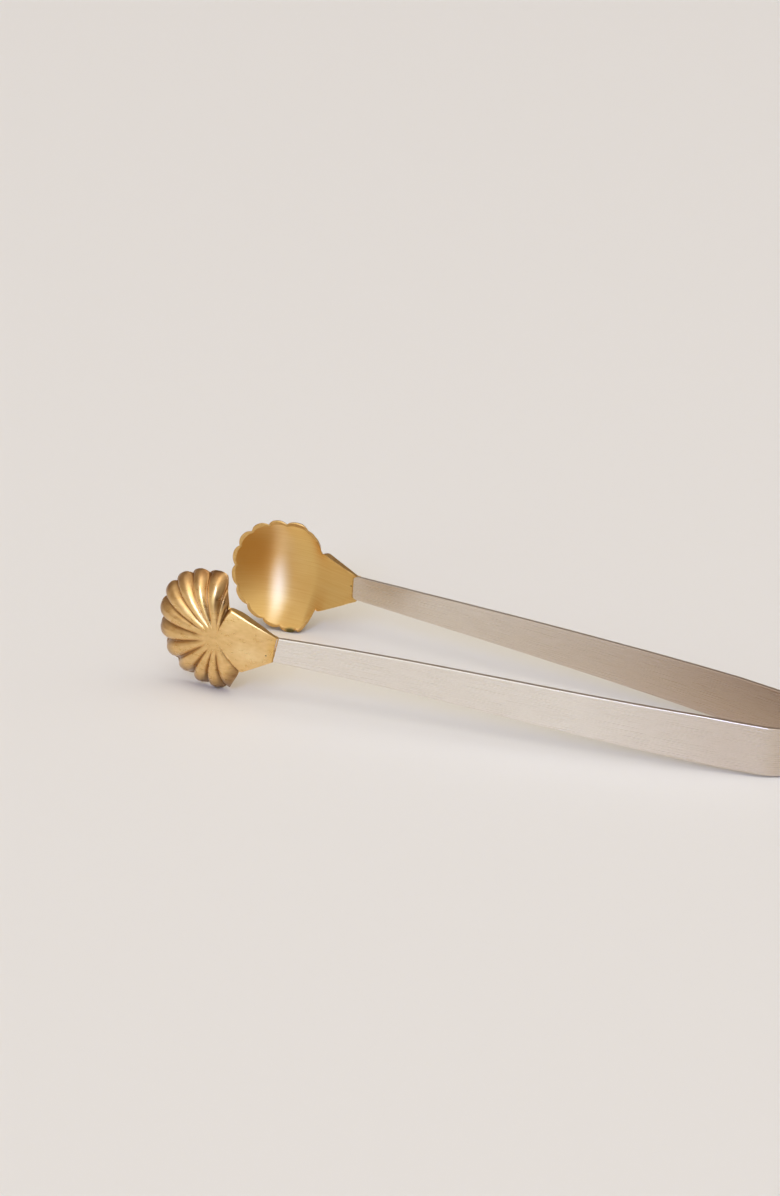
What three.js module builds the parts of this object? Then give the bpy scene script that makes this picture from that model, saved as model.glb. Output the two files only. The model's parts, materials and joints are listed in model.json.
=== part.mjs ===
// Ice tongs: a sprung strip of stainless steel bent into a narrow bow, with a cast brass
// scallop shell brazed to the end of each arm. Millimetres, +X towards the shells, +Y to
// the left, +Z up. The tongs lie on one edge of the strip, on three points: the bow's lower
// edge and the lowest lobe of each shell. The origin is the bottom centre of the whole object.
import * as THREE from "three";

// Driving dimensions of the steel strip.
const STRIP_THICKNESS = 1.2;
const STRIP_WIDTH = 12.5; // at the bow
const STRIP_END_WIDTH = 6.7; // at the shell
const TAPER_LENGTH = 110; // measured back from the shell, along the arm
const ARM_LENGTH = 124; // from the shell's seam to the end of the bow, along X
const SEAM_HALF_GAP = 23.7; // from the middle plane to the strip's centreline, at the seam
const BOW_HALF_GAP = 10.6; // the same at the end of the bow
const SEAM_SPLAY = THREE.MathUtils.degToRad(7.1); // angle of the arm to the middle plane
const BOW_SPLAY = THREE.MathUtils.degToRad(10.4);
const SEAM_DROOP = 0.8; // the tapered end of each arm sinks by this much
const DROOP_LENGTH = 60; // over this length, measured back from the seam

// Driving dimensions of a brass shell, measured from the hub where its grooves meet.
const HUB_FROM_SEAM = 15.7;
const FAN_AHEAD = 1.4; // from the hub to the middle of the fan's outline
const FAN_LENGTH = 19.5; // from that middle to the tip of the fan
const FAN_HALF_WIDTH = 16.2;
const FAN_FULLNESS = 2.25; // exponent of the fan's outline: 2 is an ellipse, more is squarer
const FAN_END = THREE.MathUtils.degToRad(92); // where the fan's round outline stops
// The notches between the fan and the neck: how far behind the hub and how far off the shell's
// axis. They are filed by hand, so all four differ.
const NOTCHES = {
  left: { top: { back: 2.0, off: 8.2 }, bottom: { back: 4.6, off: 9.5 } },
  right: { top: { back: 5.4, off: 9.0 }, bottom: { back: 4.4, off: 9.0 } },
};
const NECK_HALF_WIDTH = 3.5; // at the seam
const LOBES_A_SIDE = 5;
const LOBE_PITCH = THREE.MathUtils.degToRad(17.6);
const GROOVE_DEPTH = 1.1; // at the rim
const SCALLOP_DEPTH = 0.7; // how far a groove cuts into the fan's outline
const SMOOTH_HUB = 0.18; // share of the radius that has no grooves
const RIM_RECOVERY = 0.7; // share of a groove's depth that is lost right at the rim
const BOWL_DEPTH = 4.6; // inside, at the hub
const SEAM_DEPTH = 1.7; // of the neck's inner face behind the plane of the rim, at the seam
const WALL = 1.4;
const RIM_WALL = 0.4; // the wall is drawn down to this depth round the fan's rim
const LIP = 0.8; // how far the inner edge of the rim stands inside the outer one
// How the bowl's depth falls off towards the rim: the higher the power, the flatter the middle.
const INNER_POWER = 2.6;
const OUTER_POWER = 3.6;
const NECK_POWER = 1.6;
const NECK_FROM = THREE.MathUtils.degToRad(90); // directions over which the bowl turns into
const NECK_TO = THREE.MathUtils.degToRad(150); // the neck

// How a shell sits on its arm.
const SHELL_YAW = THREE.MathUtils.degToRad(4.1); // the two rims converge towards the tips
const RIM_INSET = 5.3; // rim plane inside the arm's line, at the hub
// Each shell is turned a little in its own plane, tip down or up, as it was brazed on, and its
// axis lies a little below the middle of the strip at the bow, so that both touch the table.
const SHELL_TURN = { left: THREE.MathUtils.degToRad(-3), right: THREE.MathUtils.degToRad(1) };
const SHELL_DROP = { left: 0.9, right: 1.18 };
const NECK_LIFT = { left: -0.7, right: 0.1 }; // brings the end of the neck to the strip

// The braze that joins a shell to its arm, and the gap that keeps neighbours apart.
const BRAZE_LENGTH = 0.5;
const BRAZE_PROUD = 0.1; // over the strip's faces and edges
const GAP = 0.3;

// How finely the curved surfaces are faceted.
const ARM_STEPS = 24;
const BOW_STEPS = 28;
const LOBE_STEPS = 4;
const OUTER_RINGS = 8;
const INNER_RINGS = 6;

const steel = new THREE.MeshStandardMaterial({ color: 0xcdc6be, roughness: 0.38, metalness: 1 });
const brass = new THREE.MeshStandardMaterial({ color: 0xc79a4b, roughness: 0.32, metalness: 1 });
const filler = new THREE.MeshStandardMaterial({ color: 0xd9a23a, roughness: 0.45, metalness: 1 });

// ---- steel strip ----

// Centreline of the left arm in plan, from the seam back to the bow.
const armLine = new THREE.CubicBezierCurve(
  new THREE.Vector2(0, SEAM_HALF_GAP),
  new THREE.Vector2(-ARM_LENGTH / 3, SEAM_HALF_GAP - (ARM_LENGTH / 3) * Math.tan(SEAM_SPLAY)),
  new THREE.Vector2((-2 * ARM_LENGTH) / 3, BOW_HALF_GAP + (ARM_LENGTH / 3) * Math.tan(BOW_SPLAY)),
  new THREE.Vector2(-ARM_LENGTH, BOW_HALF_GAP),
);

const bowRadius = BOW_HALF_GAP / Math.cos(BOW_SPLAY);
const bowCentreX = -ARM_LENGTH + bowRadius * Math.sin(BOW_SPLAY);

function halfWidthAt(x) {
  const widening = (STRIP_WIDTH - STRIP_END_WIDTH) / TAPER_LENGTH;
  return Math.min(STRIP_END_WIDTH - x * widening, STRIP_WIDTH) / 2;
}

// How far the middle of the strip lies below its middle at the bow.
function droopAt(x) {
  return SEAM_DROOP * (1 - THREE.MathUtils.clamp(-x / DROOP_LENGTH, 0, 1)) ** 2;
}

// A strip on edge: the outline between its two faces, extruded and then drawn in to the taper.
function stripGeometry(line, normals) {
  const half = STRIP_THICKNESS / 2;
  const outer = line.map((p, i) => p.clone().addScaledVector(normals[i], half));
  const inner = line.map((p, i) => p.clone().addScaledVector(normals[i], -half));
  const outline = new THREE.Shape([...outer, ...inner.reverse()]);
  const geometry = new THREE.ExtrudeGeometry(outline, { depth: 2, bevelEnabled: false });
  geometry.translate(0, 0, -1);
  const position = geometry.getAttribute("position");
  for (let i = 0; i < position.count; i++) {
    const x = position.getX(i);
    position.setZ(i, position.getZ(i) * halfWidthAt(x) - droopAt(x));
  }
  geometry.computeVertexNormals();
  return geometry;
}

// The arm stops short of the braze at one end and of the bow at the other.
function armGeometry() {
  const length = armLine.getLength();
  const first = (BRAZE_LENGTH / 2 + GAP) / length;
  const last = 1 - GAP / 2 / length;
  const line = [];
  const normals = [];
  for (let i = 0; i <= ARM_STEPS; i++) {
    const t = THREE.MathUtils.lerp(first, last, i / ARM_STEPS);
    const along = armLine.getTangentAt(t);
    line.push(armLine.getPointAt(t));
    normals.push(new THREE.Vector2(along.y, -along.x));
  }
  return stripGeometry(line, normals);
}

// The bow runs round from the end of the left arm to the end of the right one.
function bowGeometry() {
  const start = Math.PI / 2 + BOW_SPLAY + GAP / 2 / bowRadius;
  const end = 2 * Math.PI - start;
  const line = [];
  const normals = [];
  for (let i = 0; i <= BOW_STEPS; i++) {
    const angle = THREE.MathUtils.lerp(start, end, i / BOW_STEPS);
    const outward = new THREE.Vector2(Math.cos(angle), Math.sin(angle));
    line.push(new THREE.Vector2(bowCentreX, 0).addScaledVector(outward, bowRadius));
    normals.push(outward);
  }
  return stripGeometry(line, normals);
}

function brazeGeometry() {
  return new THREE.BoxGeometry(
    BRAZE_LENGTH,
    STRIP_THICKNESS + 2 * BRAZE_PROUD,
    STRIP_END_WIDTH + 2 * BRAZE_PROUD,
  );
}

// ---- brass shell ----
// Its own axes: X from the hub to the tip, Z across the fan, Y the depth behind the rim plane.

const neckEnd = HUB_FROM_SEAM - BRAZE_LENGTH / 2 - GAP;

function fanRadius(angle) {
  const along = Math.abs(Math.cos(angle)) / FAN_LENGTH;
  const across = Math.abs(Math.sin(angle)) / FAN_HALF_WIDTH;
  const fromMiddle = (along ** FAN_FULLNESS + across ** FAN_FULLNESS) ** (-1 / FAN_FULLNESS);
  return fromMiddle + FAN_AHEAD * Math.cos(angle);
}

// Distance from the hub, in the direction of angle, to the line through two points.
function reach(angle, p, q) {
  const away = new THREE.Vector2(Math.cos(angle), Math.sin(angle));
  const along = q.clone().sub(p);
  return p.cross(along) / away.cross(along);
}

const fanEnd = new THREE.Vector2(Math.cos(FAN_END), Math.sin(FAN_END)).multiplyScalar(fanRadius(FAN_END));
const neckCorner = new THREE.Vector2(-neckEnd, NECK_HALF_WIDTH);
const neckMiddle = new THREE.Vector2(-neckEnd, 0);

// The notch on the side of the shell that angle points to, given as if it were the upper one.
function notchAt(angle, side) {
  const notch = angle > 0 ? NOTCHES[side].top : NOTCHES[side].bottom;
  return new THREE.Vector2(-notch.back, notch.off);
}

function outlineRadius(angle, side) {
  const turn = Math.abs(angle);
  const notch = notchAt(angle, side);
  if (turn <= FAN_END) return fanRadius(turn);
  if (turn <= notch.angle()) return reach(turn, fanEnd, notch);
  if (turn <= neckCorner.angle()) return reach(turn, notch, neckCorner);
  return reach(turn, neckCorner, neckMiddle);
}

// 1 round the fan, falling to 0 at the notch and along the neck.
function fanShare(angle, side) {
  return 1 - THREE.MathUtils.smoothstep(Math.abs(angle), FAN_END, notchAt(angle, side).angle());
}

// How deep in a groove a direction lies: 0 on the crest of a lobe, 1 at the bottom of a groove.
function grooveAt(angle) {
  const turn = Math.abs(angle) / LOBE_PITCH;
  if (turn > LOBES_A_SIDE + 0.5) return 0;
  const offCrest = 2 * (turn - Math.floor(turn)) - 1;
  return offCrest ** 2;
}

// 0 at the hub and over the fan, rising to 1 along the neck as it nears the strip.
function alongNeck(x) {
  return THREE.MathUtils.clamp(-x / HUB_FROM_SEAM, 0, 1);
}

// Depth of the rim itself: 0 round the fan, deeper along the neck.
function rimDepth(x) {
  return SEAM_DEPTH * alongNeck(x);
}

// A bowl is flat at the hub and steepest at its rim; along the neck it is nearly straight.
function bowlDepth(angle, share, rim, middle, bowlPower) {
  const neck = THREE.MathUtils.smoothstep(Math.abs(angle), NECK_FROM, NECK_TO);
  const power = THREE.MathUtils.lerp(bowlPower, NECK_POWER, neck);
  return rim + (middle - rim) * (1 - share ** power);
}

function innerPoint(angle, share, side) {
  const full = outlineRadius(angle, side) - LIP * fanShare(angle, side);
  const r = share * (full - SCALLOP_DEPTH * grooveAt(angle) * share ** 3);
  const x = r * Math.cos(angle);
  const depth = bowlDepth(angle, r / full, rimDepth(x), BOWL_DEPTH, INNER_POWER);
  const z = r * Math.sin(angle) + NECK_LIFT[side] * alongNeck(x);
  return new THREE.Vector3(x, depth, z);
}

function outerPoint(angle, share, side) {
  const groove = grooveAt(angle);
  const full = outlineRadius(angle, side);
  const r = share * (full - SCALLOP_DEPTH * groove * share);
  const x = r * Math.cos(angle);
  const growth = THREE.MathUtils.clamp((share - SMOOTH_HUB) / (1 - SMOOTH_HUB), 0, 1);
  const edge = rimDepth(x) + THREE.MathUtils.lerp(WALL, RIM_WALL, fanShare(angle, side));
  const depth = bowlDepth(angle, r / full, edge, BOWL_DEPTH + WALL, OUTER_POWER);
  const relief = GROOVE_DEPTH * groove * growth * (1 - RIM_RECOVERY * share ** 8);
  const z = r * Math.sin(angle) + NECK_LIFT[side] * alongNeck(x);
  return new THREE.Vector3(x, depth - relief, z);
}

// Directions round one half of the shell: evenly over each lobe, then through the neck's corners.
function sideAngles(notchAngle) {
  const angles = [];
  for (let i = 1; i <= LOBES_A_SIDE * LOBE_STEPS; i++) angles.push((i / LOBE_STEPS) * LOBE_PITCH);
  const corners = [FAN_END, notchAngle, neckCorner.angle(), Math.PI];
  const steps = [3, 4, 2];
  steps.forEach((count, k) => {
    for (let i = 0; i < count; i++) {
      angles.push(THREE.MathUtils.lerp(corners[k], corners[k + 1], i / count));
    }
  });
  return angles;
}

// One closed skin: the outer surface from hub to rim, then the inner one from rim to hub.
function shellGeometry(side) {
  const upper = sideAngles(notchAt(1, side).angle());
  const lower = sideAngles(notchAt(-1, side).angle());
  const angles = [0, ...upper, Math.PI, ...lower.map((angle) => -angle).reverse()];
  const rings = [];
  for (let i = 1; i <= OUTER_RINGS; i++) {
    rings.push(angles.map((angle) => outerPoint(angle, i / OUTER_RINGS, side)));
  }
  for (let i = INNER_RINGS; i >= 1; i--) {
    rings.push(angles.map((angle) => innerPoint(angle, i / INNER_RINGS, side)));
  }
  const points = [outerPoint(0, 0, side), ...rings.flat(), innerPoint(0, 0, side)];
  const faces = [];
  const count = angles.length;
  const at = (ring, i) => 1 + ring * count + (i % count);
  const lastPoint = points.length - 1;
  for (let i = 0; i < count; i++) {
    faces.push(0, at(0, i + 1), at(0, i));
    faces.push(lastPoint, at(rings.length - 1, i), at(rings.length - 1, i + 1));
    for (let ring = 0; ring + 1 < rings.length; ring++) {
      faces.push(at(ring, i), at(ring + 1, i + 1), at(ring + 1, i));
      faces.push(at(ring, i), at(ring, i + 1), at(ring + 1, i + 1));
    }
  }
  const geometry = new THREE.BufferGeometry().setFromPoints(points);
  geometry.setIndex(faces);
  geometry.computeVertexNormals();
  return geometry;
}

// ---- assembly ----

function named(name, geometry, material) {
  const mesh = new THREE.Mesh(geometry, material);
  mesh.name = name;
  return mesh;
}

// One arm with its braze and shell. The right arm is the left one mirrored.
function makeArm(side) {
  const arm = new THREE.Group();
  arm.add(named(side + "_arm", armGeometry(), steel));

  const braze = named(side + "_braze", brazeGeometry(), filler);
  braze.position.set(0, SEAM_HALF_GAP, -SEAM_DROOP);
  braze.rotation.z = SEAM_SPLAY;
  arm.add(braze);

  const shell = named(side + "_shell", shellGeometry(side), brass);
  const hubX = HUB_FROM_SEAM * Math.cos(SEAM_SPLAY);
  const hubY = SEAM_HALF_GAP + HUB_FROM_SEAM * Math.sin(SEAM_SPLAY) - RIM_INSET;
  shell.position.set(hubX, hubY, -SHELL_DROP[side]);
  shell.rotation.set(0, -SHELL_TURN[side], -SHELL_YAW, "ZYX");
  arm.add(shell);

  arm.scale.y = side === "left" ? 1 : -1;
  return arm;
}

function lowestPoint(mesh) {
  const position = mesh.geometry.getAttribute("position");
  const point = new THREE.Vector3();
  const lowest = new THREE.Vector3(0, 0, Infinity);
  for (let i = 0; i < position.count; i++) {
    point.fromBufferAttribute(position, i).applyMatrix4(mesh.matrixWorld);
    if (point.z < lowest.z) lowest.copy(point);
  }
  return lowest;
}

const tongs = new THREE.Group();
tongs.add(named("bow", bowGeometry(), steel), makeArm("left"), makeArm("right"));

const root = new THREE.Group();
root.add(tongs);
root.updateMatrixWorld(true);

// The shells are taller than the strip, so at rest the arms rise towards them.
const lobe = lowestPoint(root.getObjectByName("left_shell"));
const bowEndX = bowCentreX - bowRadius - STRIP_THICKNESS / 2;
tongs.rotation.y = -Math.atan2(-lobe.z - STRIP_WIDTH / 2, lobe.x - bowEndX);
root.updateMatrixWorld(true);
const box = new THREE.Box3().setFromObject(root, true);
const middle = box.getCenter(new THREE.Vector3());
tongs.position.set(-middle.x, -middle.y, -box.min.z);

export default root;
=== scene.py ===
"""Ice tongs: a sprung strip of brushed stainless steel with two cast brass scallop shells.

The shapes are worked out in the tongs' own axes, in millimetres: X from the seam between arm and
shell towards the shell's tip, Y to the left, Z across the strip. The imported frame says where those
axes lie.
"""

import json
import math

import bpy
from mathutils import Matrix, Vector


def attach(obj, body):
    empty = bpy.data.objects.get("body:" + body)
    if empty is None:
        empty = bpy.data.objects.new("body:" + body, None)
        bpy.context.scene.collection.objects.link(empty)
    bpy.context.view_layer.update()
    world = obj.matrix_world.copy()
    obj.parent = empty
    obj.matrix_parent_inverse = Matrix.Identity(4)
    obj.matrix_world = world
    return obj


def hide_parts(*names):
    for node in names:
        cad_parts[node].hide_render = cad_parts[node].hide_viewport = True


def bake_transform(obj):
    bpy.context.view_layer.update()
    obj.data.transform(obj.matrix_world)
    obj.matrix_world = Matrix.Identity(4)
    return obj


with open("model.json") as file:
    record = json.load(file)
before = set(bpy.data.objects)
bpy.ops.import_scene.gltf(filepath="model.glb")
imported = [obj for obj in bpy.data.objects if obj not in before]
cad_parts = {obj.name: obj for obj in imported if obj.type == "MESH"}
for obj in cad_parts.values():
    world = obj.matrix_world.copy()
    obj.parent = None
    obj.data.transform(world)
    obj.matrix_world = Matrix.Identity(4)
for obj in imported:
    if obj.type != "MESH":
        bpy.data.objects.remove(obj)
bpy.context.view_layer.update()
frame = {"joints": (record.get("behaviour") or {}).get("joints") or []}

MM = 0.001
SIDES = ("left", "right")

# The strip.
STRIP_THICKNESS = 1.2
STRIP_WIDTH = 12.5  # at the bow
STRIP_END_WIDTH = 6.7  # at the shell
TAPER_LENGTH = 110
ARM_LENGTH = 124
SEAM_HALF_GAP = 23.7
BOW_HALF_GAP = 10.6
SEAM_SPLAY = math.radians(7.1)
BOW_SPLAY = math.radians(10.4)
SEAM_DROOP = 0.8
DROOP_LENGTH = 60
EDGE_ROUNDING = 0.16  # radius of the strip's long edges
END_ROUNDING = 1.3  # radius of the two corners of its end
LAP = 1.3  # how far the strip runs on inside the shell's neck

# A shell, measured from the hub where its grooves meet.
HUB_FROM_SEAM = 15.7
FAN_AHEAD = 1.4
FAN_LENGTH = 19.5
FAN_HALF_WIDTH = 16.2
FAN_FULLNESS = 2.25
FAN_END = math.radians(92)
NOTCHES = {
    "left": {"top": (2.7, 8.9), "bottom": (5.3, 8.8)},  # behind the hub, off the axis
    "right": {"top": (4.7, 8.4), "bottom": (3.7, 9.6)},
}
NECK_HALF_WIDTH = 3.5
LOBE_PITCH = math.radians(17.6)
FIFTH_GROOVE = {"top": math.radians(93), "bottom": math.radians(88)}  # off the axis
SCALLOP_DEPTH = 1.05
GROOVE_DEPTH = 2.1
GROOVE_SHARPNESS = 2.5  # power of a lobe's section: 2 is a parabola, less is more like a V
POCKET = {"top": 0.6, "bottom": 0.0}  # how much deeper the last groove gets towards the notch
POCKET_DEEPENING = (0.3, 0.9)  # shares of the radius between which it sets in
PAINTED_SHADE_POCKET_REACH = (0.35, 0.6)  # the same for the painted shade in it
POCKET_SPREAD = (math.radians(2), math.radians(6))  # to each side, where its painted shade is full and where that ends
PAST_NOTCH = math.radians(1)  # the last groove's bottom lies at least this far past the notch
NECK_BLEND = (math.radians(2), math.radians(10))  # before and past the notch, from lobes to neck
GROOVE_FADE = math.radians(9)  # over which the last groove runs out into the neck
GROOVE_GROWTH = 0.8  # power of a groove's depth along the radius
SMOOTH_HUB = 0.17  # share of the radius that has no grooves
LOBE_FULLNESS = (4, 0.7)  # powers of a lobe's fall from the hub to the rim
DEEPEST_GROOVE = 0.85  # as a share of the lobe's own rise above the rim
BOWL_DEPTH = 5.7
BOWL_FULLNESS = 2.8  # power of its section: 2 is a parabola, more is flatter in the middle
WALL = 0.5  # at the hub
THINNEST_WALL = 0.3  # at the bottom of a groove
RIM_WIDTH = 1.2
RIM_ROUNDING = 0.22
RIM_FLAT = (0.12, 0.96)  # its flat part, as shares of the way from its outer to its inner edge
INNER_SCALLOPS = (0.5, 8)  # share of the outer scallops' depth, and power of their fall inwards
BACK_LENGTH = 16.0  # of the oval that the bowl's inside follows behind the hub
BOWL_RUN_OUT = 7  # behind the hub, over which the bowl turns into the neck's channel
NECK_FALL = 1.2  # power of the neck's fall from the hub to the seam
CHANNEL_END = 0.75  # share of the neck's length where its channel starts to flatten
NECK_EDGE_DEPTH = 2.0  # of the neck's side edges behind the rim plane
SEAM_DEPTH = 1.9  # of the neck's inside at the seam
SEAM_WALL = 1.2  # its thickness there
NECK_ARCH = 1.0  # of the neck's outside, by the hub
BEVEL = 0.4  # along the neck's outer edges
FAN_SOFTENING = math.radians(2.4)  # to each side, over which the outline's corners are rounded
NECK_SOFTENING = math.radians(0.5)
NECK_SIDE = math.radians(140)  # directions past this one run out through the neck
SHELL_YAW = math.radians(4.1)
RIM_INSET = 5.3
SHELL_TURN = {"left": math.radians(-3), "right": math.radians(1)}
SHELL_DROP = {"left": 0.9, "right": 1.18}
NECK_LIFT = {"left": -0.7, "right": 0.1}
SEAM_SLANT = {"left": 0.7, "right": 0.1}  # its upper end lies that much nearer to the bow
SLANT_FALL = 4  # power of the slant's fall from the seam to the hub

# The light. Azimuths are in degrees from +X towards +Y, elevations from the floor up.
KEY_STRENGTH = 0.35
KEY_SPREAD = 36
KEY_AZIMUTH = 120
KEY_ELEVATION = 68
KEY_COLOUR = (0.97, 0.99, 1)
STUDIO = (0.92, 0.885, 0.845)
PANELS = [  # azimuth, elevation, half width, half height, softness of the edge, colour
    (0, 89, 50, 50, 0.4, (1.32, 1.275, 1.215)),
    (290, 25, 75, 40, 0.35, (0.28, 0.23, 0.19)),
    (20, 20, 50, 36, 0.3, (0.56, 0.48, 0.40)),
    (140, 10, 36, 20, 0.4, (0.14, 0.10, 0.07)),
    (78, 10, 13, 12, 0.5, (2.1, 2.5, 2.6)),
    (98, 34, 7, 12, 0.4, (6.5, 8.9, 17.0)),
]

FLOOR_COLOUR = (0.768, 0.728, 0.645)
FLOOR_REACH = 40.0  # metres to each side, so that a low camera doesn't see its edge

# The camera.
CAMERA_AZIMUTH = math.radians(205.24)
CAMERA_ELEVATION = math.radians(21.75)
CAMERA_ROLL = math.radians(0.16)
CAMERA_DISTANCE = 0.6587
CAMERA_LENS = 69.34  # on a sensor 36 mm along the picture's long side
AIM_AHEAD = 5.4  # the point on the table that it looks at, from the seam, in mm
AIM_ASIDE = -55.5


# ---- placing ----


def tongs_axes():
    """The matrix from the tongs' own axes, in mm, to the frame, from the left hinge."""
    hinge = next(j for j in frame["joints"] if j["name"] == "left_arm_flex")
    up = -Vector(hinge["axis"]).normalized()
    aside = Vector((0, 1, 0))
    turn = Matrix((aside.cross(up), aside, up)).transposed()
    in_tongs = Vector((-ARM_LENGTH, BOW_HALF_GAP, 0)) * MM
    place = Vector(hinge["pos_m"]) - turn @ in_tongs
    return Matrix.Translation(place) @ turn.to_4x4() @ Matrix.Scale(MM, 4)


TONGS = tongs_axes()


def smooth(value, low, high):
    t = min(max((value - low) / (high - low), 0), 1)
    return t * t * (3 - 2 * t)


def mix(a, b, t):
    return a + (b - a) * t


def add_mesh(name, points, faces, materials, face_material=None, coordinates=None, relief=None):
    """A mesh object with its vertices in place in the frame.

    coordinates are in mm over the surface. relief says how far out on a shell each point lies
    and how deep in a groove, from 0 to 1, or up to 2 in the pocket by the notch; the brass paints
    shade from it. On the strip its first value is 1 on the inner face and 0 on the outer one.
    """
    mesh = bpy.data.meshes.new(name)
    mesh.from_pydata([tuple(p) for p in points], [], faces)
    for material in materials:
        mesh.materials.append(material)
    mesh.polygons.foreach_set("use_smooth", [True] * len(mesh.polygons))
    if face_material:
        mesh.polygons.foreach_set("material_index", face_material)
    for layer_name, values in (("UVMap", coordinates), ("Relief", relief)):
        if values:
            layer = mesh.uv_layers.new(name=layer_name)
            for loop in mesh.loops:
                layer.data[loop.index].uv = values[loop.vertex_index]
    mesh.validate()
    mesh.update()
    obj = bpy.data.objects.new(name, mesh)
    bpy.context.scene.collection.objects.link(obj)
    return obj


def mirrored(points, faces, side):
    """Points and faces made for the left arm, for the arm of that side, in the frame."""
    if side == "right":
        points = [Vector((p.x, -p.y, p.z)) for p in points]
        faces = [tuple(reversed(face)) for face in faces]
    return [TONGS @ p for p in points], faces


def tube_faces(rings, around, closed=False):
    """Quads between rings of points that each run round a section."""
    faces = []
    last = rings if closed else rings - 1
    for ring in range(last):
        after = (ring + 1) % rings
        for i in range(around):
            j = (i + 1) % around
            here, there = ring * around, after * around
            faces.append((here + i, here + j, there + j, there + i))
    return faces


# ---- materials ----

STREAK_HEIGHT = 0.00002  # metres

# Colours of the wear, and of painted shade and painted highlights.
PAINTED_LOBE_END_DARK = (0.30, 0.15, 0.055)
PAINTED_GROOVE_DARK = (0.26, 0.12, 0.035)
PAINTED_POCKET_DARK = (0.10, 0.045, 0.015)
PAINTED_HOLLOW_DARK = (0.30, 0.155, 0.05)
PAINTED_TIP_DARK = (0.60, 0.26, 0.04)
PAINTED_LOW_EDGE_DARK = (0.66, 0.40, 0.12)
PAINTED_NECK_SHEEN_TONE = (0.98, 0.75, 0.40)
PAINTED_STRIPE_TONE = (1.0, 0.82, 0.54)
SEAM_ORANGE_TONE = (0.78, 0.45, 0.09)
OUTER_PINHOLE_DARK = (0.08, 0.04, 0.02)
INNER_PINHOLE_DARK = (0.10, 0.05, 0.02)
TARNISH_OLIVE = (0.13, 0.11, 0.04)
PAINTED_BOW_DARK = (0.61, 0.51, 0.42)
PAINTED_INNER_FACE_DARK = (0.54, 0.42, 0.34)

# Where the painted shade sets in and where it is full.
PAINTED_SHADE_LOBE_ENDS = (0.72, 0.96)  # shares of a shell's radius
PAINTED_SHADE_GROOVES = (0.35, 1.0)  # depths in the relief layer
PAINTED_SHADE_POCKET = (1.0, 1.7)
PAINTED_SHADE_BOW = (80, 118)  # mm along the strip from its end in the shell
PAINTED_SHADE_INNER_FACE = (25, 110)

# Marks on the brass, painted shade and highlights among them, as centre and half sizes in mm, forwards
# and upwards from a shell's hub.
PAINTED_SHADE_HOLLOW = ((-0.3, 9.3), (2.6, 3.4))
PAINTED_SHEEN_NECK = ((-8.5, -2.5), (8, 4.5))
ORANGE_BY_SEAM = ((-HUB_FROM_SEAM, 0), (2.6, 6))
OUTER_PINHOLE = ((1.9 - HUB_FROM_SEAM, -1.8), (0.32, 0.2))
PAINTED_SHADE_TIP = ((16, 4), (16, 19))
PAINTED_SHADE_LOW_EDGE = ((9, -14), (10, 6.5))
PAINTED_HIGHLIGHT_STRIPE = ((8, -4.5), (4, 11))
INNER_PINHOLE = ((2.0 - HUB_FROM_SEAM, 0.6), (0.28, 0.28))
OLIVE_SPOT = ((1.9, -15.7), (2.2, 1.1))


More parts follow.
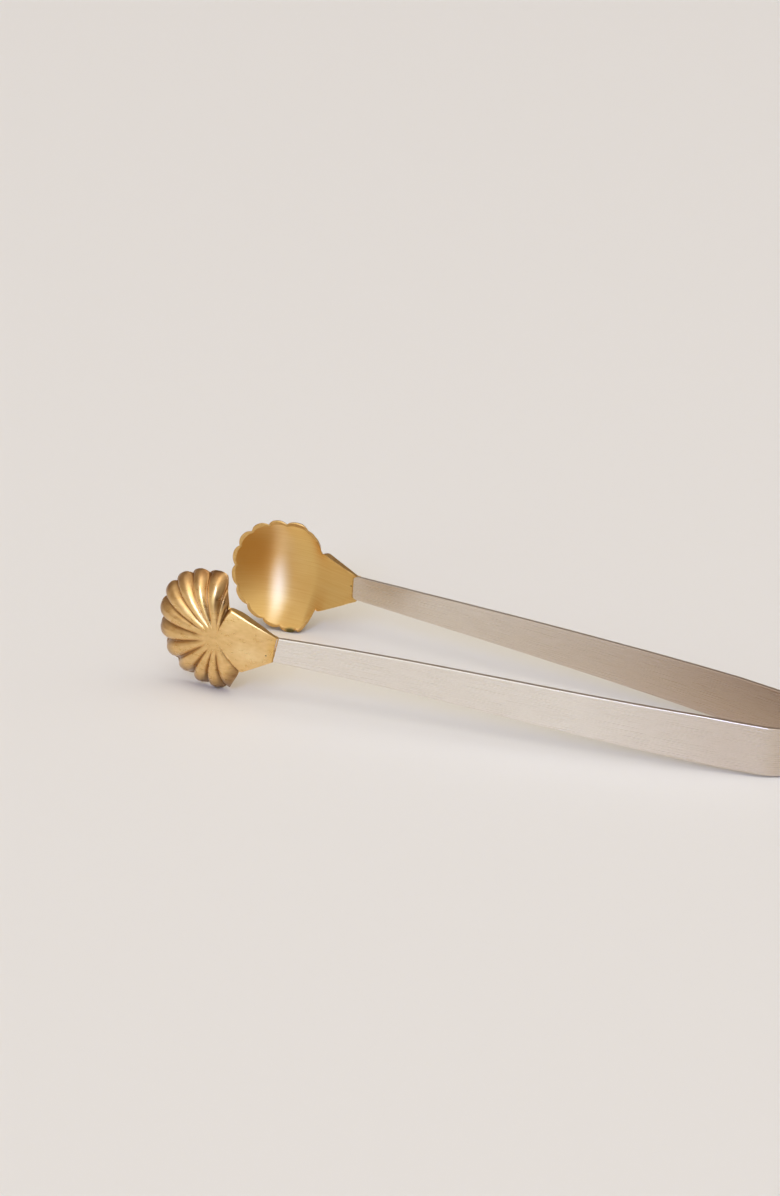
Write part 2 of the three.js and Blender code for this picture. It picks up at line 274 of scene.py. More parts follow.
class Nodes:
    """A small helper that adds shader nodes to a material."""

    def __init__(self, name):
        self.material = bpy.data.materials.new(name)
        self.material.use_nodes = True
        self.tree = self.material.node_tree
        self.shader = self.tree.nodes["Principled BSDF"]

    def add(self, kind, **values):
        node = self.tree.nodes.new(kind)
        for key, value in values.items():
            setattr(node, key, value)
        return node

    def link(self, out, into):
        self.tree.links.new(out, into)

    def scaled_uv(self, along, across):
        """Surface coordinates in mm, stretched by these factors."""
        place = self.add("ShaderNodeUVMap", uv_map="UVMap")
        stretch = self.add("ShaderNodeMapping")
        stretch.inputs["Scale"].default_value = (along, across, 1)
        self.link(place.outputs["UV"], stretch.inputs["Vector"])
        return stretch.outputs["Vector"]

    def noise(self, vector, scale, detail=3, roughness=0.5):
        node = self.add("ShaderNodeTexNoise")
        node.inputs["Scale"].default_value = scale
        node.inputs["Detail"].default_value = detail
        node.inputs["Roughness"].default_value = roughness
        self.link(vector, node.inputs["Vector"])
        return node.outputs["Fac"]

    def ramp(self, value, low, high, start, end):
        """Value from low..high mapped to start..end."""
        node = self.add("ShaderNodeMapRange")
        node.inputs["From Min"].default_value = low
        node.inputs["From Max"].default_value = high
        node.inputs["To Min"].default_value = start
        node.inputs["To Max"].default_value = end
        self.link(value, node.inputs["Value"])
        return node.outputs["Result"]

    def tint(self, factor, first, second):
        node = self.add("ShaderNodeMix", data_type="RGBA")
        for socket, value in (("A", first), ("B", second)):
            into = next(s for s in node.inputs if s.name == socket and s.type == "RGBA")
            if isinstance(value, tuple):
                into.default_value = (*value, 1)
            else:
                self.link(value, into)
        self.link(factor, node.inputs["Factor"])
        return next(s for s in node.outputs if s.type == "RGBA")

    def maths(self, operation, first, second):
        node = self.add("ShaderNodeMath", operation=operation)
        for into, value in zip(node.inputs, (first, second)):
            if isinstance(value, (int, float)):
                into.default_value = value
            else:
                self.link(value, into)
        return node.outputs[0]

    def relief(self):
        """The two values of the mesh's relief layer."""
        place = self.add("ShaderNodeUVMap", uv_map="Relief")
        parts = self.add("ShaderNodeSeparateXYZ")
        self.link(place.outputs["UV"], parts.inputs["Vector"])
        return parts.outputs["X"], parts.outputs["Y"]

    def stain_or_painted_light(self, colour, mask, strength, stain_or_painted_light):
        """colour, turned to the given colour where the mask is 1, as far as strength says: a mark, or
        painted shade or highlight.
        """
        return self.tint(self.ramp(mask, 0, 1, 0, strength), colour, stain_or_painted_light)

    def spot(self, centre, size, solid=0.1):
        """1 in the middle of an oval of these half sizes in mm, 0 outside it.

        solid is the share of its radius that is 1 all over.
        """
        place = self.add("ShaderNodeUVMap", uv_map="UVMap")
        shrink = self.add("ShaderNodeMapping")
        shrink.inputs["Scale"].default_value = (1 / size[0], 1 / size[1], 1)
        shrink.inputs["Location"].default_value = (-centre[0] / size[0], -centre[1] / size[1], 0)
        self.link(place.outputs["UV"], shrink.inputs["Vector"])
        length = self.add("ShaderNodeVectorMath", operation="LENGTH")
        self.link(shrink.outputs["Vector"], length.inputs[0])
        node = self.add("ShaderNodeMapRange", interpolation_type="SMOOTHSTEP")
        node.inputs["From Min"].default_value = 1
        node.inputs["From Max"].default_value = solid
        self.link(length.outputs["Value"], node.inputs["Value"])
        return node.outputs["Result"]

    def bump(self, height, strength, distance):
        node = self.add("ShaderNodeBump")
        node.inputs["Strength"].default_value = strength
        node.inputs["Distance"].default_value = distance
        self.link(height, node.inputs["Height"])
        return node.outputs["Normal"]


def brushed_metal(
    name, light, dark, roughness, streaks, detail=4, grain=0.06, anisotropic=0.0, extra=None
):
    """Metal with fine streaks along the first surface coordinate.

    streaks is (along, across), the stretch of the streak noise per mm, detail how many finer levels
    it has and grain how rough they feel. extra takes the Nodes and the colour so far and gives the
    colour back with more detail.
    """
    made = Nodes(name)
    shader = made.shader
    shader.inputs["Metallic"].default_value = 1
    along, across = streaks
    fine = made.noise(made.scaled_uv(along, across), 1, detail, 0.6)
    broad = made.noise(made.scaled_uv(0.05, 0.12), 1, 2)
    colour = made.tint(made.ramp(fine, 0.3, 0.7, 0, 1), dark, light)
    colour = made.tint(made.ramp(broad, 0.3, 0.7, 0, 0.3), colour, dark)
    if extra:
        colour = extra(made, colour)
    made.link(colour, shader.inputs["Base Color"])
    made.link(made.ramp(fine, 0.25, 0.75, roughness[0], roughness[1]), shader.inputs["Roughness"])
    made.link(made.bump(fine, grain, STREAK_HEIGHT), shader.inputs["Normal"])
    if anisotropic:
        shader.inputs["Anisotropic"].default_value = anisotropic
        shader.inputs["Anisotropic Rotation"].default_value = 0.25  # highlights cross the streaks
        tangent = made.add("ShaderNodeTangent", direction_type="UV_MAP", uv_map="UVMap")
        made.link(tangent.outputs["Tangent"], shader.inputs["Tangent"])
    return made.material


def outside_wear_and_painted_light(made, colour):
    """Painted shade on the lobe ends, in the grooves and in a hollow by the upper corner; a painted sheen
    on the neck; an orange tone and a pinhole by the seam.
    """
    out, deep = made.relief()
    patches = made.noise(made.scaled_uv(0.35, 0.35), 1, 3)
    # Painted shade at the lobe ends, where they roll over at the rim, broken up by noise patches.
    lobe_end = made.ramp(out, *PAINTED_SHADE_LOBE_ENDS, 0, 1)
    painted_end_shade = made.maths("MULTIPLY", lobe_end, made.ramp(patches, 0.3, 0.6, 0.6, 1))
    colour = made.tint(painted_end_shade, colour, PAINTED_LOBE_END_DARK)
    # Painted shade in the grooves, and darker still in the pocket by the notch.
    colour = made.tint(made.ramp(deep, *PAINTED_SHADE_GROOVES, 0, 0.95), colour, PAINTED_GROOVE_DARK)
    colour = made.tint(made.ramp(deep, *PAINTED_SHADE_POCKET, 0, 0.95), colour, PAINTED_POCKET_DARK)
    # Painted shade in a hollow near the upper corner.
    colour = made.stain_or_painted_light(colour, made.spot(*PAINTED_SHADE_HOLLOW), 0.75, PAINTED_HOLLOW_DARK)
    # A painted sheen on the lower neck, mottled by noise patches.
    on_neck = made.spot(*PAINTED_SHEEN_NECK, solid=0)
    painted_sheen = made.maths("MULTIPLY", on_neck, made.ramp(patches, 0.25, 0.65, 0.2, 1))
    colour = made.stain_or_painted_light(colour, painted_sheen, 0.75, PAINTED_NECK_SHEEN_TONE)
    # An orange tone over the end of the neck by the seam.
    colour = made.stain_or_painted_light(colour, made.spot(*ORANGE_BY_SEAM, solid=0), 0.5, SEAM_ORANGE_TONE)
    return made.tint(made.spot(*OUTER_PINHOLE, solid=0.5), colour, OUTER_PINHOLE_DARK)


def inside_wear_and_painted_light(made, colour):
    """Painted shade towards the tip and along the lowest lobes, a painted highlight along the bowl's
    bright stripe, a tarnished spot, a pinhole.
    """
    # Painted shade towards the tip, where the bowl faces the other shell.
    colour = made.stain_or_painted_light(colour, made.spot(*PAINTED_SHADE_TIP), 0.85, PAINTED_TIP_DARK)
    # Painted shade along the bowl's lower edge.
    colour = made.stain_or_painted_light(colour, made.spot(*PAINTED_SHADE_LOW_EDGE), 0.6, PAINTED_LOW_EDGE_DARK)
    # A painted highlight along the bowl's bright stripe.
    colour = made.stain_or_painted_light(colour, made.spot(*PAINTED_HIGHLIGHT_STRIPE, solid=0), 0.6, PAINTED_STRIPE_TONE)
    colour = made.tint(made.spot(*INNER_PINHOLE, solid=0.5), colour, INNER_PINHOLE_DARK)
    return tarnish(made, colour)


def tarnish(made, colour):
    """An olive spot on the lowest lobe."""
    return made.tint(made.spot(*OLIVE_SPOT, solid=0.4), colour, TARNISH_OLIVE)


def painted_steel_shade(made, colour):
    """Painted shade on the steel: a browner tone towards the bow, and browner, darker inner faces."""
    place = made.add("ShaderNodeUVMap", uv_map="UVMap")
    parts = made.add("ShaderNodeSeparateXYZ")
    made.link(place.outputs["UV"], parts.inputs["Vector"])
    to_bow = parts.outputs["X"]
    inner, _ = made.relief()
    # Painted shade towards the bow.
    colour = made.tint(made.ramp(to_bow, *PAINTED_SHADE_BOW, 0, 0.7), colour, PAINTED_BOW_DARK)
    # Painted shade on the inner faces, growing towards the bow.
    inner_face_shade = made.maths("MULTIPLY", made.ramp(to_bow, *PAINTED_SHADE_INNER_FACE, 0.1, 0.85), inner)
    return made.tint(inner_face_shade, colour, PAINTED_INNER_FACE_DARK)


STEEL = brushed_metal(
    "brushed_steel",
    (0.80, 0.735, 0.66),
    (0.775, 0.71, 0.635),
    (0.26, 0.29),
    (0.06, 9),
    grain=0.03,
    anisotropic=0.5,
    extra=painted_steel_shade,
)
BRASS_INSIDE = brushed_metal(
    "brushed_brass_inside",
    (0.99, 0.725, 0.305),
    (0.87, 0.57, 0.195),
    (0.38, 0.46),
    (0.07, 2.4),
    grain=0.12,
    anisotropic=1.0,
    extra=inside_wear_and_painted_light,
)
BRASS_OUTSIDE = brushed_metal(
    "brushed_brass_outside",
    (0.88, 0.60, 0.28),
    (0.75, 0.48, 0.19),
    (0.25, 0.34),
    (0.35, 0.8),
    detail=1,
    extra=outside_wear_and_painted_light,
)
BRASS_RIM = brushed_metal(
    "brass_rim", (0.78, 0.50, 0.19), (0.60, 0.36, 0.12), (0.30, 0.40), (1.5, 1.5), extra=tarnish
)
BRAZE = brushed_metal("braze", (0.74, 0.46, 0.14), (0.50, 0.27, 0.07), (0.34, 0.50), (2.5, 2.5))


# ---- the steel strip ----


def arm_point(t):
    """Centre of the left arm in plan, and the way out from it, t from the seam to the bow."""
    third = ARM_LENGTH / 3
    handles = (
        Vector((0, SEAM_HALF_GAP)),
        Vector((-third, SEAM_HALF_GAP - third * math.tan(SEAM_SPLAY))),
        Vector((-2 * third, BOW_HALF_GAP + third * math.tan(BOW_SPLAY))),
        Vector((-ARM_LENGTH, BOW_HALF_GAP)),
    )
    u = 1 - t
    weights = (u**3, 3 * u * u * t, 3 * u * t * t, t**3)
    slopes = (-3 * u * u, 3 * u * u - 6 * u * t, 6 * u * t - 3 * t * t, 3 * t * t)
    centre = sum((h * w for h, w in zip(handles, weights)), Vector((0, 0)))
    along = sum((h * w for h, w in zip(handles, slopes)), Vector((0, 0))).normalized()
    return centre, Vector((along.y, -along.x))


def strip_line():
    """Centres and outward directions from the strip's end inside the shell to the crown."""
    seam, out = arm_point(0)
    ahead = Vector((out.y, -out.x))
    arm_steps = 150
    bow_steps = 70
    lap_steps = 16
    line = []
    for i in range(lap_steps):
        share = 1 - math.cos(0.5 * math.pi * i / lap_steps)
        line.append((seam + ahead * LAP * (1 - share), out))
    line += [arm_point(i / arm_steps) for i in range(arm_steps)]
    radius = BOW_HALF_GAP / math.cos(BOW_SPLAY)
    centre = Vector((-ARM_LENGTH + radius * math.sin(BOW_SPLAY), 0))
    start = math.pi / 2 + BOW_SPLAY
    near_crown = 1 - 0.002  # a last short step keeps the shading even where the halves meet
    for share in [i / bow_steps for i in range(bow_steps)] + [near_crown, 1]:
        angle = mix(start, math.pi, share)
        away = Vector((math.cos(angle), math.sin(angle)))
        line.append((centre + away * radius, away))
    return line


def strip_half_width(x):
    widening = (STRIP_WIDTH - STRIP_END_WIDTH) / TAPER_LENGTH
    half = min(STRIP_END_WIDTH - min(x, 0) * widening, STRIP_WIDTH) / 2
    from_end = LAP - x
    if from_end < END_ROUNDING:
        half -= END_ROUNDING - math.sqrt(max(END_ROUNDING**2 - (END_ROUNDING - from_end) ** 2, 0))
    return half


def strip_middle(x):
    return -SEAM_DROOP * (1 - min(max(-x / DROOP_LENGTH, 0), 1)) ** 2


def strip_section(half_width):
    """The strip's section as (outward, upward) pairs, with rounded long edges."""
    half = STRIP_THICKNESS / 2
    steps = 5
    section = []
    for corner, (sx, sz) in enumerate(((1, 1), (-1, 1), (-1, -1), (1, -1))):
        centre = (sx * (half - EDGE_ROUNDING), sz * (half_width - EDGE_ROUNDING))
        for i in range(steps + 1):
            angle = (corner + i / steps) * math.pi / 2
            section.append(
                (centre[0] + EDGE_ROUNDING * math.cos(angle), centre[1] + EDGE_ROUNDING * math.sin(angle))
            )
        # Two more points on each flat keep its shading flat up to the rounded edge.
        for share in (0.04, 0.96):
            if sx == sz:
                section.append((centre[0] * (1 - 2 * share), sz * half_width))
            else:
                section.append((sx * half, centre[1] * (1 - 2 * share)))
    return section


def make_band(side):
    points = []
    coordinates = []
    inside = []
    travelled = 0
    before = None
    line = strip_line()
    for centre, out in line:
        travelled += (centre - before).length if before else 0
        before = centre
        for outward, upward in strip_section(strip_half_width(centre.x)):
            flat = centre + out * outward
            points.append(Vector((flat.x, flat.y, strip_middle(centre.x) + upward)))
            coordinates.append((travelled, upward + outward))
            inside.append((0.5 - outward / STRIP_THICKNESS, 0))
    around = len(points) // len(line)
    faces = tube_faces(len(line), around)
    faces.append(tuple(range(around)))
    faces.append(tuple(reversed(range(len(points) - around, len(points)))))
    faces = [tuple(reversed(face)) for face in faces]
    points, faces = mirrored(points, faces, side)
    band = add_mesh(side + "_band", points, faces, [STEEL], None, coordinates, inside)
    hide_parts(side + "_arm", "bow")
    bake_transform(band)


# ---- the brass shells ----


def fan_radius(turn):
    along = abs(math.cos(turn)) / FAN_LENGTH
    across = abs(math.sin(turn)) / FAN_HALF_WIDTH
    from_middle = (along**FAN_FULLNESS + across**FAN_FULLNESS) ** (-1 / FAN_FULLNESS)
    return from_middle + FAN_AHEAD * math.cos(turn)


def reach_line(turn, p, q):
    """Distance from the hub, in the direction turn, to the line through p and q."""
    away = Vector((math.cos(turn), math.sin(turn)))
    along = q - p
    return p.cross(along) / away.cross(along)


def neck_way(x):
    """0 at the hub, 1 at the seam."""
    return min(max(-x / HUB_FROM_SEAM, 0), 1)


class Corner:
    """The upper or lower half of a shell's outline, as if it were the upper one."""

    def __init__(self, side, end):
        back, off = NOTCHES[side][end]
        self.notch = Vector((-back, off))
        self.notch_turn = math.atan2(off, -back)
        self.fan_end = Vector((math.cos(FAN_END), math.sin(FAN_END))) * fan_radius(FAN_END)
        self.neck = Vector((-HUB_FROM_SEAM, NECK_HALF_WIDTH))
        self.neck_turn = math.atan2(self.neck.y, self.neck.x)
        self.fifth_groove = FIFTH_GROOVE[end]
        self.pocket_depth = POCKET[end]
        self.last_groove = max(6 * LOBE_PITCH, self.notch_turn + PAST_NOTCH)

    def sharp_radius(self, turn):
        if turn <= FAN_END:
            return fan_radius(turn)
        if turn <= self.notch_turn:
            return reach_line(turn, self.fan_end, self.notch)
        if turn <= self.neck_turn:
            return reach_line(turn, self.notch, self.neck)
        return HUB_FROM_SEAM / -math.cos(turn)

    def radius(self, turn):
        """The outline with its corners rounded off."""
        spread = FAN_SOFTENING if turn < NECK_SIDE else NECK_SOFTENING
        samples = 9
        near = [turn + spread * (i / (samples - 1) - 0.5) * 2 for i in range(samples)]
        return sum(self.sharp_radius(math.pi - abs(math.pi - abs(t))) for t in near) / samples

    def fan_share(self, turn):
        return 1 - smooth(turn, FAN_END, self.notch_turn)

    def neck_share(self, turn):
        before, past = NECK_BLEND
        return smooth(turn, self.notch_turn - before, self.notch_turn + past)

    def groove(self, turn):
        """0 on the crest of a lobe, 1 at the bottom of a groove, 0 on the neck."""
        fourth, fifth = 4 * LOBE_PITCH, self.fifth_groove
        if turn <= fourth:
            off_crest = 2 * (turn / LOBE_PITCH % 1) - 1
        elif turn <= fifth:
            off_crest = 2 * (turn - fourth) / (fifth - fourth) - 1
        elif turn <= self.last_groove:
            off_crest = 2 * (turn - fifth) / (self.last_groove - fifth) - 1
        else:
            off_crest = max(1 - (turn - self.last_groove) / GROOVE_FADE, 0)
        return abs(off_crest) ** GROOVE_SHARPNESS

    def pocket(self, turn):
        """1 in the last groove, by the notch, where it is a pocket, 0 elsewhere."""
        near = 1 - smooth(abs(turn - self.last_groove), *POCKET_SPREAD)
        return near * self.pocket_depth / max(POCKET.values())

    def inside_edge(self, x, z):
        """How far a point on the neck lies inside its side edge."""
        along = (self.neck - self.notch).normalized()
        return along.cross(Vector((x, z)) - self.notch)

    def neck_half_width(self, x):
        share = (x - self.notch.x) / (self.neck.x - self.notch.x)
        return mix(self.notch.y, self.neck.y, min(share, 1))


def bowl_oval(turn):
    """Radius of the smooth oval that the inside of the bowl follows, all the way round."""
    if turn <= math.pi / 2:
        return fan_radius(turn) - RIM_WIDTH
    along = abs(math.cos(turn)) / BACK_LENGTH
    across = abs(math.sin(turn)) / (FAN_HALF_WIDTH - RIM_WIDTH)
    return 1 / math.hypot(along, across)


def inner_depth(corner, x, z):
    """Depth of the smooth inside: a bowl that runs out into the neck's shallow channel."""
    share = math.hypot(x, z) / bowl_oval(math.atan2(z, x))
    in_bowl = BOWL_DEPTH * max(1 - share**BOWL_FULLNESS, 0)
    middle = mix(BOWL_DEPTH, SEAM_DEPTH, neck_way(x) ** NECK_FALL)
    dish = (middle - NECK_EDGE_DEPTH) * (1 - smooth(neck_way(x), CHANNEL_END, 1))
    in_neck = middle - dish * (z / corner.neck_half_width(x)) ** 2
    return mix(in_bowl, in_neck, smooth(-x, 0, BOWL_RUN_OUT))


def edge_depth(corner, turn):
    """Depth of the inside at the outline: 0 round the fan, deeper from the notch on."""
    full = corner.radius(turn) - RIM_WIDTH * corner.fan_share(turn)
    return max(inner_depth(corner, full * math.cos(turn), full * math.sin(turn)), 0)


def neck_back(corner, x, z):
    """Depth of the neck's outside: gently arched, with a small bevel along its side edges."""
    way = neck_way(x)
    middle = mix(BOWL_DEPTH + WALL, SEAM_DEPTH + SEAM_WALL, way**NECK_FALL)
    arch = NECK_ARCH * (1 - way) * (z / corner.neck_half_width(x)) ** 2
    inside = min(max(corner.inside_edge(x, z) / BEVEL, 0), 1)
    return middle - arch - BEVEL * (1 - way) * (1 - math.sqrt(1 - (1 - inside) ** 2))


def outer_point(corner, turn, share):
    """On the lobed outside: share 0 at the hub, 1 at the outline."""
    at_neck = corner.neck_share(turn)
    groove = corner.groove(turn)
    full = corner.radius(turn)
    r = share * (full - SCALLOP_DEPTH * groove * (1 - at_neck) * share)
    x, z = r * math.cos(turn), r * math.sin(turn)
    growth = max((share - SMOOTH_HUB) / (1 - SMOOTH_HUB), 0) ** GROOVE_GROWTH
    rim = edge_depth(corner, turn) + RIM_ROUNDING
    fall, fullness = LOBE_FULLNESS
    rise = (BOWL_DEPTH + WALL - rim) * max(1 - share**fall, 0) ** fullness
    towards_last = smooth(turn, corner.fifth_groove, corner.last_groove)
    pocket = 1 + corner.pocket_depth * (towards_last * smooth(share, *POCKET_DEEPENING))
    in_bowl = rim + rise - min(GROOVE_DEPTH * groove * growth * pocket, DEEPEST_GROOVE * rise)
    in_bowl = max(in_bowl, inner_depth(corner, x, z) + THINNEST_WALL * min(rise, 1))
    in_neck = neck_back(corner, x, z)
    return Vector((x, mix(in_bowl, in_neck, at_neck), z))


def inner_point(corner, turn, share):
    """On the smooth inside, which follows the rim's scallops half as far and only close to it."""
    full = corner.radius(turn) - RIM_WIDTH * corner.fan_share(turn)
    scallop = SCALLOP_DEPTH * corner.groove(turn) * (1 - corner.neck_share(turn))
    strength, fall = INNER_SCALLOPS
    r = share * (full - strength * scallop * share**fall)
    x, z = r * math.cos(turn), r * math.sin(turn)
    return Vector((x, max(inner_depth(corner, x, z), 0), z))


def rim_point(corner, turn, share):
    """On the end of the wall: share 0 at its outer edge, 1 at its inner one."""
    point = outer_point(corner, turn, 1).lerp(inner_point(corner, turn, 1), share)
    flat = edge_depth(corner, turn)
    point.y = mix(flat, point.y, corner.neck_share(turn))
    return point


def shell_turns(corner):
    """Directions round one half, finest across the grooves and the corners of the neck."""
    lobe_steps = 18
    turns = [i / lobe_steps * LOBE_PITCH for i in range(1, 4 * lobe_steps + 1)]
    past_groove = corner.last_groove + math.radians(12)
    start = 4 * LOBE_PITCH
    stretches = [
        (corner.fifth_groove, 22),
        (corner.last_groove, 22),
        (past_groove, 14),
        (corner.neck_turn, 40),
        (math.pi, 18),
    ]
    for end, steps in stretches:
        turns += [mix(start, end, (i + 1) / steps) for i in range(steps)]
        start = end
    return turns


# How many rings of points run round a shell on each of its surfaces.
OUTER_RINGS = 64
RIM_RINGS = 4
INNER_RINGS = 40


def ring_share(t):
    """Rings crowd towards the rim, where the wall turns over."""
    return math.sin(t * math.pi / 2)


def shell_surface(side):
    """A shell's points about its hub, their relief, and how many lie in a ring."""
    upper = Corner(side, "top")
    lower = Corner(side, "bottom")
    ways = [(upper, turn, 1) for turn in [0] + shell_turns(upper)]
    ways += [(lower, turn, -1) for turn in reversed(shell_turns(lower)[:-1])]
    shares = [(outer_point, ring_share(i / OUTER_RINGS)) for i in range(1, OUTER_RINGS + 1)]
    shares += [(rim_point, mix(*RIM_FLAT, i / RIM_RINGS)) for i in range(RIM_RINGS + 1)]
    shares += [(inner_point, ring_share(i / INNER_RINGS)) for i in range(INNER_RINGS, 0, -1)]
    points = [outer_point(upper, 0, 0)]
    relief = [(0, 0)]
    for function, share in shares:
        for corner, turn, half in ways:
            point = function(corner, turn, share)
            point.z *= half
            points.append(point)
            # These relief values set where the brass gets painted shade.
            grooved = 1 - corner.neck_share(turn)
            depth = smooth(share, SMOOTH_HUB, 2 * SMOOTH_HUB) * corner.groove(turn)
            pocket = smooth(share, *PAINTED_SHADE_POCKET_REACH) * corner.pocket(turn)
            relief.append((share * grooved, depth * grooved + pocket))
    points.append(inner_point(upper, 0, 0))
    relief.append((0, 0))
    return points, relief, len(ways)


def shell_faces(points, count):
    """A shell's faces, and for each one its material: 0 outside, 1 on the rim, 2 inside."""
    last = len(points) - 1
    rings = (len(points) - 2) // count
    faces = [tuple(1 + i for i in face) for face in tube_faces(rings, count)]
    final_ring = last - count
    for i in range(count):
        j = (i + 1) % count
        faces.append((0, 1 + j, 1 + i))
        faces.append((last, final_ring + i, final_ring + j))
    materials = []
    for face in faces:
        ring = (max(face) - 1) // count
        is_rim = OUTER_RINGS <= ring <= OUTER_RINGS + RIM_RINGS + 1
        materials.append(1 if is_rim else 0 if ring < OUTER_RINGS else 2)
    return faces, materials


def placed_on_arm(points, side):
    """A shell's points moved to the left arm's end, with that side's own turn and slant."""
    hub = Vector(
        (
            HUB_FROM_SEAM * math.cos(SEAM_SPLAY),
            SEAM_HALF_GAP + HUB_FROM_SEAM * math.sin(SEAM_SPLAY) - RIM_INSET,
            -SHELL_DROP[side],
        )
    )
    turned = Matrix.Rotation(-SHELL_YAW, 4, "Z") @ Matrix.Rotation(-SHELL_TURN[side], 4, "Y")
    placed = Matrix.Translation(hub) @ turned
    for p in points:
        p.x -= SEAM_SLANT[side] * p.z / NECK_HALF_WIDTH * neck_way(p.x) ** SLANT_FALL
        p.z += NECK_LIFT[side] * neck_way(p.x)
    return [placed @ p for p in points]


def make_shell(side):
    points, relief, count = shell_surface(side)
    faces, face_material = shell_faces(points, count)
    coordinates = [(p.x, p.z) for p in points]
    points, faces = mirrored(placed_on_arm(points, side), faces, side)
    materials = [BRASS_OUTSIDE, BRASS_RIM, BRASS_INSIDE]
    shell = add_mesh(side + "_scallop", points, faces, materials, face_material, coordinates, relief)
    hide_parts(side + "_shell")
    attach(shell, side + "_arm")


# ---- the braze ----


BEAD_RADIUS = 0.16
BEAD_UNEVENNESS = 0.05
BEAD_BEHIND = 0.05  # its middle lies that much nearer to the bow than the neck's end
BEAD_TAPER = 0.5  # how much shorter it is at the lap, at each end


def bead_path():
    """The bead's centre line: ahead of the seam, outwards and upwards."""
    half = STRIP_THICKNESS / 2
    width = STRIP_END_WIDTH / 2
    lap_width = width - BEAD_TAPER
    corners = [
        Vector((-BEAD_BEHIND, half, -width)),
        Vector((-BEAD_BEHIND, half, width)),
        Vector((LAP, -half, lap_width)),
        Vector((LAP, -half, -lap_width)),
    ]
    steps = 24
    path = []
    for k, corner in enumerate(corners):
        following = corners[(k + 1) % len(corners)]
        path += [corner.lerp(following, i / steps) for i in range(steps)]
    return path


def make_bead(side):
    """A bead of filler metal round the strip, along the end of the neck and round the lap."""
    path = bead_path()
    seam, out = arm_point(0)
    ahead = Vector((out.y, -out.x))
    around = 10
    points = []
    for i, middle in enumerate(path):
        radius = BEAD_RADIUS + BEAD_UNEVENNESS * math.sin(1.7 * i) * math.sin(0.6 * i + 1)
        tangent = (path[(i + 1) % len(path)] - path[i - 1]).normalized()
        first = Vector((1, 0, 0)).cross(tangent).normalized()
        second = tangent.cross(first)
        for k in range(around):
            angle = 2 * math.pi * k / around
            p = middle + (first * math.cos(angle) + second * math.sin(angle)) * radius
            slant = SEAM_SLANT[side] * p.z / NECK_HALF_WIDTH if p.y > 0 else 0
            flat = seam + ahead * (p.x - slant) + out * p.y
            points.append(Vector((flat.x, flat.y, p.z - SEAM_DROOP)))
    faces = tube_faces(len(path), around, closed=True)
    coordinates = [(p.x, p.z) for p in points]
    points, faces = mirrored(points, faces, side)
    bead = add_mesh(side + "_bead", points, faces, [BRAZE], None, coordinates)
    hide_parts(side + "_braze")
    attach(bead, side + "_arm")


for side in SIDES:
    make_band(side)
    make_shell(side)
    make_bead(side)


# ---- the stage ----


def make_floor():
    reach = FLOOR_REACH
    corners = [(-reach, -reach, 0), (reach, -reach, 0), (reach, reach, 0), (-reach, reach, 0)]
    made = Nodes("pale_floor")
    made.shader.inputs["Base Color"].default_value = (*FLOOR_COLOUR, 1)
    made.shader.inputs["Roughness"].default_value = 0.6
    made.shader.inputs["Specular IOR Level"].default_value = 0.3
    mesh = bpy.data.meshes.new("floor")
    mesh.from_pydata(corners, [], [(0, 1, 2, 3)])
    mesh.materials.append(made.material)
    floor = bpy.data.objects.new("floor", mesh)
    bpy.context.scene.collection.objects.link(floor)


def make_camera():
    data = bpy.data.cameras.new("camera")
    data.sensor_width = 36
    data.lens = CAMERA_LENS
    data.clip_start = 0.01
    data.clip_end = 100
    camera = bpy.data.objects.new("camera", data)
    bpy.context.scene.collection.objects.link(camera)
    az, el = CAMERA_AZIMUTH, CAMERA_ELEVATION
    back = Vector((math.sin(az) * math.cos(el), -math.cos(az) * math.cos(el), math.sin(el)))
    seam = TONGS @ Vector((0, 0, 0))
    aim = Vector((seam.x + AIM_AHEAD * MM, AIM_ASIDE * MM, 0))
    facing = (-back).to_track_quat("-Z", "Y").to_matrix().to_4x4()
    camera.matrix_world = (
        Matrix.Translation(aim + back * CAMERA_DISTANCE) @ facing @ Matrix.Rotation(CAMERA_ROLL, 4, "Z")
    )
    bpy.context.scene.camera = camera


def direction(azimuth, elevation):
    """The way to a point at these angles in degrees, the azimuth counted from +X towards +Y."""
    az, el = math.radians(azimuth), math.radians(elevation)
    return Vector((math.cos(az) * math.cos(el), math.sin(az) * math.cos(el), math.sin(el)))


def make_key():
    """A broad soft light from above the camera, far enough away to light the floor evenly."""
    data = bpy.data.lights.new("key", "SUN")
    data.energy = KEY_STRENGTH
    data.angle = math.radians(KEY_SPREAD)
    data.color = KEY_COLOUR
    light = bpy.data.objects.new("key", data)
    bpy.context.scene.collection.objects.link(light)
    light.rotation_mode = "QUATERNION"
    light.rotation_quaternion = direction(KEY_AZIMUTH, KEY_ELEVATION).to_track_quat("Z", "Y")


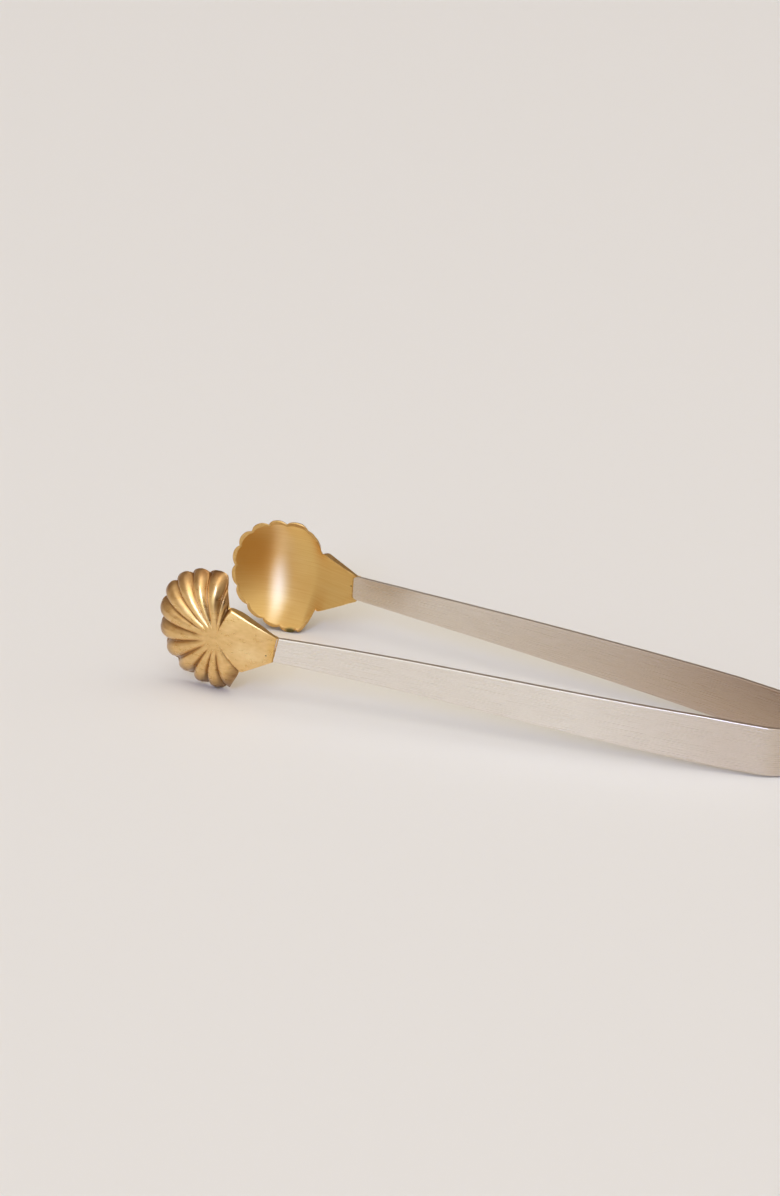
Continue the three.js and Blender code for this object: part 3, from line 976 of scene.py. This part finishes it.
def make_world():
    """An even studio with soft panels round it, bright and dark, that the metal reflects."""
    world = bpy.data.worlds.new("studio")
    bpy.context.scene.world = world
    world.use_nodes = True
    tree = world.node_tree

    def maths(operation, first, second=None):
        node = tree.nodes.new("ShaderNodeMath")
        node.operation = operation
        for into, value in zip(node.inputs, (first, second)):
            if isinstance(value, (int, float)):
                into.default_value = value
            elif value is not None:
                tree.links.new(value, into)
        return node.outputs[0]

    def along(vector, axis):
        node = tree.nodes.new("ShaderNodeVectorMath")
        node.operation = "DOT_PRODUCT"
        node.inputs[1].default_value = axis
        tree.links.new(vector, node.inputs[0])
        return node.outputs["Value"]

    look = tree.nodes.new("ShaderNodeTexCoord").outputs["Generated"]
    colour = STUDIO
    for azimuth, elevation, half_width, half_height, softness, panel in PANELS:
        middle = direction(azimuth, elevation)
        aside = Vector((0, 0, 1)).cross(middle).normalized()
        up = middle.cross(aside)
        across = maths("POWER", along(look, aside / math.sin(math.radians(half_width))), 2)
        upwards = maths("POWER", along(look, up / math.sin(math.radians(half_height))), 2)
        off = maths("SQRT", maths("ADD", across, upwards))
        edge = tree.nodes.new("ShaderNodeMapRange")
        edge.interpolation_type = "SMOOTHSTEP"
        edge.inputs["From Min"].default_value = 1 + softness
        edge.inputs["From Max"].default_value = 1 - softness
        tree.links.new(off, edge.inputs["Value"])
        ahead = maths("GREATER_THAN", along(look, middle), 0)
        mixer = tree.nodes.new("ShaderNodeMix")
        mixer.data_type = "RGBA"
        first, second = (i for i in mixer.inputs if i.type == "RGBA")
        tree.links.new(maths("MULTIPLY", edge.outputs["Result"], ahead), mixer.inputs["Factor"])
        if isinstance(colour, tuple):
            first.default_value = (*colour, 1)
        else:
            tree.links.new(colour, first)
        second.default_value = (*panel, 1)
        colour = next(o for o in mixer.outputs if o.type == "RGBA")
    tree.links.new(colour, tree.nodes["Background"].inputs["Color"])


make_floor()
make_camera()
make_world()
make_key()

bpy.context.scene.view_settings.view_transform = "Standard"

bpy.context.view_layer.update()
